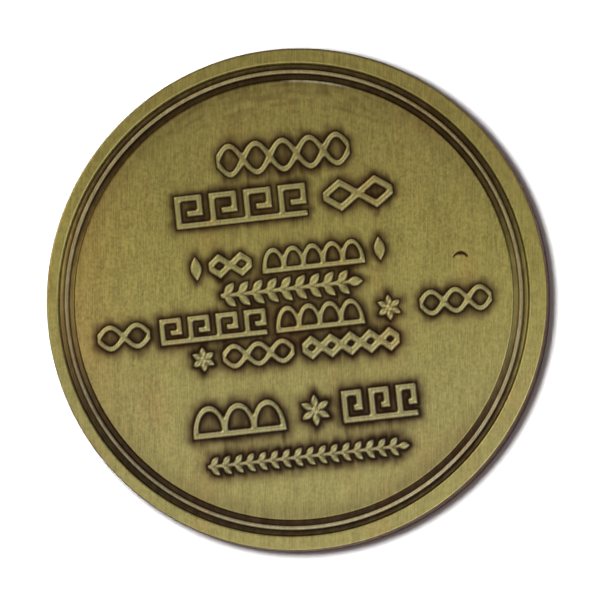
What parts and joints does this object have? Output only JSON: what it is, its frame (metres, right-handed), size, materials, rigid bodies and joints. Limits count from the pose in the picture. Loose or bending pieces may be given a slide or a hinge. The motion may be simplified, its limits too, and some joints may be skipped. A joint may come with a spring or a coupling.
{
  "type": "challenge coin",
  "caption": "Round die-struck metal coin with a flat rim, a grooved border, and raised ornamental bands on a recessed brushed field.",
  "frame": {"origin": "the middle of the coin's round outline, on the surface that it lies on: the middle of the reverse face's rim plane", "axes": "+Z out of the obverse, through the coin's thickness; +X along the ornament rows, from left to right as the obverse is seen; +Y towards the top of the obverse"},
  "size_m": [0.0444, 0.0444, 0.003],
  "materials": {
    "rim": "antique brass with a fine straight brushed grain, dark patina left in the low places",
    "field": "antique brass with a fine straight brushed grain, dark purple-brown patina round the relief and in the grooves",
    "bead": "antique brass rubbed bright on its crest, dark patina on its flanks",
    "relief": "antique brass rubbed bright on the high edges, dark patina at its foot"
  },
  "bodies": {
    "root": {"rim_ring": "rim", "core_disc": "field", "obverse_bead": "bead", "relief_1a_braid": "relief", "relief_2a_key": "relief", "relief_2b_lozenges": "relief", "relief_3a_spindle": "relief", "relief_3b_lozenges": "relief", "relief_3c_arches": "relief", "relief_3d_spindle": "relief", "relief_4a_laurel": "relief", "relief_5a_braid": "relief", "relief_5b_key": "relief", "relief_5c_arches": "relief", "relief_5d_rosette": "relief", "relief_5e_braid": "relief", "relief_6a_rosette": "relief", "relief_6b_braid": "relief", "relief_6c_lozenges": "relief", "relief_7a_arches": "relief", "relief_7b_rosette": "relief", "relief_7c_key": "relief", "relief_8a_laurel": "relief", "reverse_bead": "bead", "reverse_star": "relief", "reverse_wreath_left": "relief", "reverse_wreath_right": "relief"}
  },
  "joints": []
}
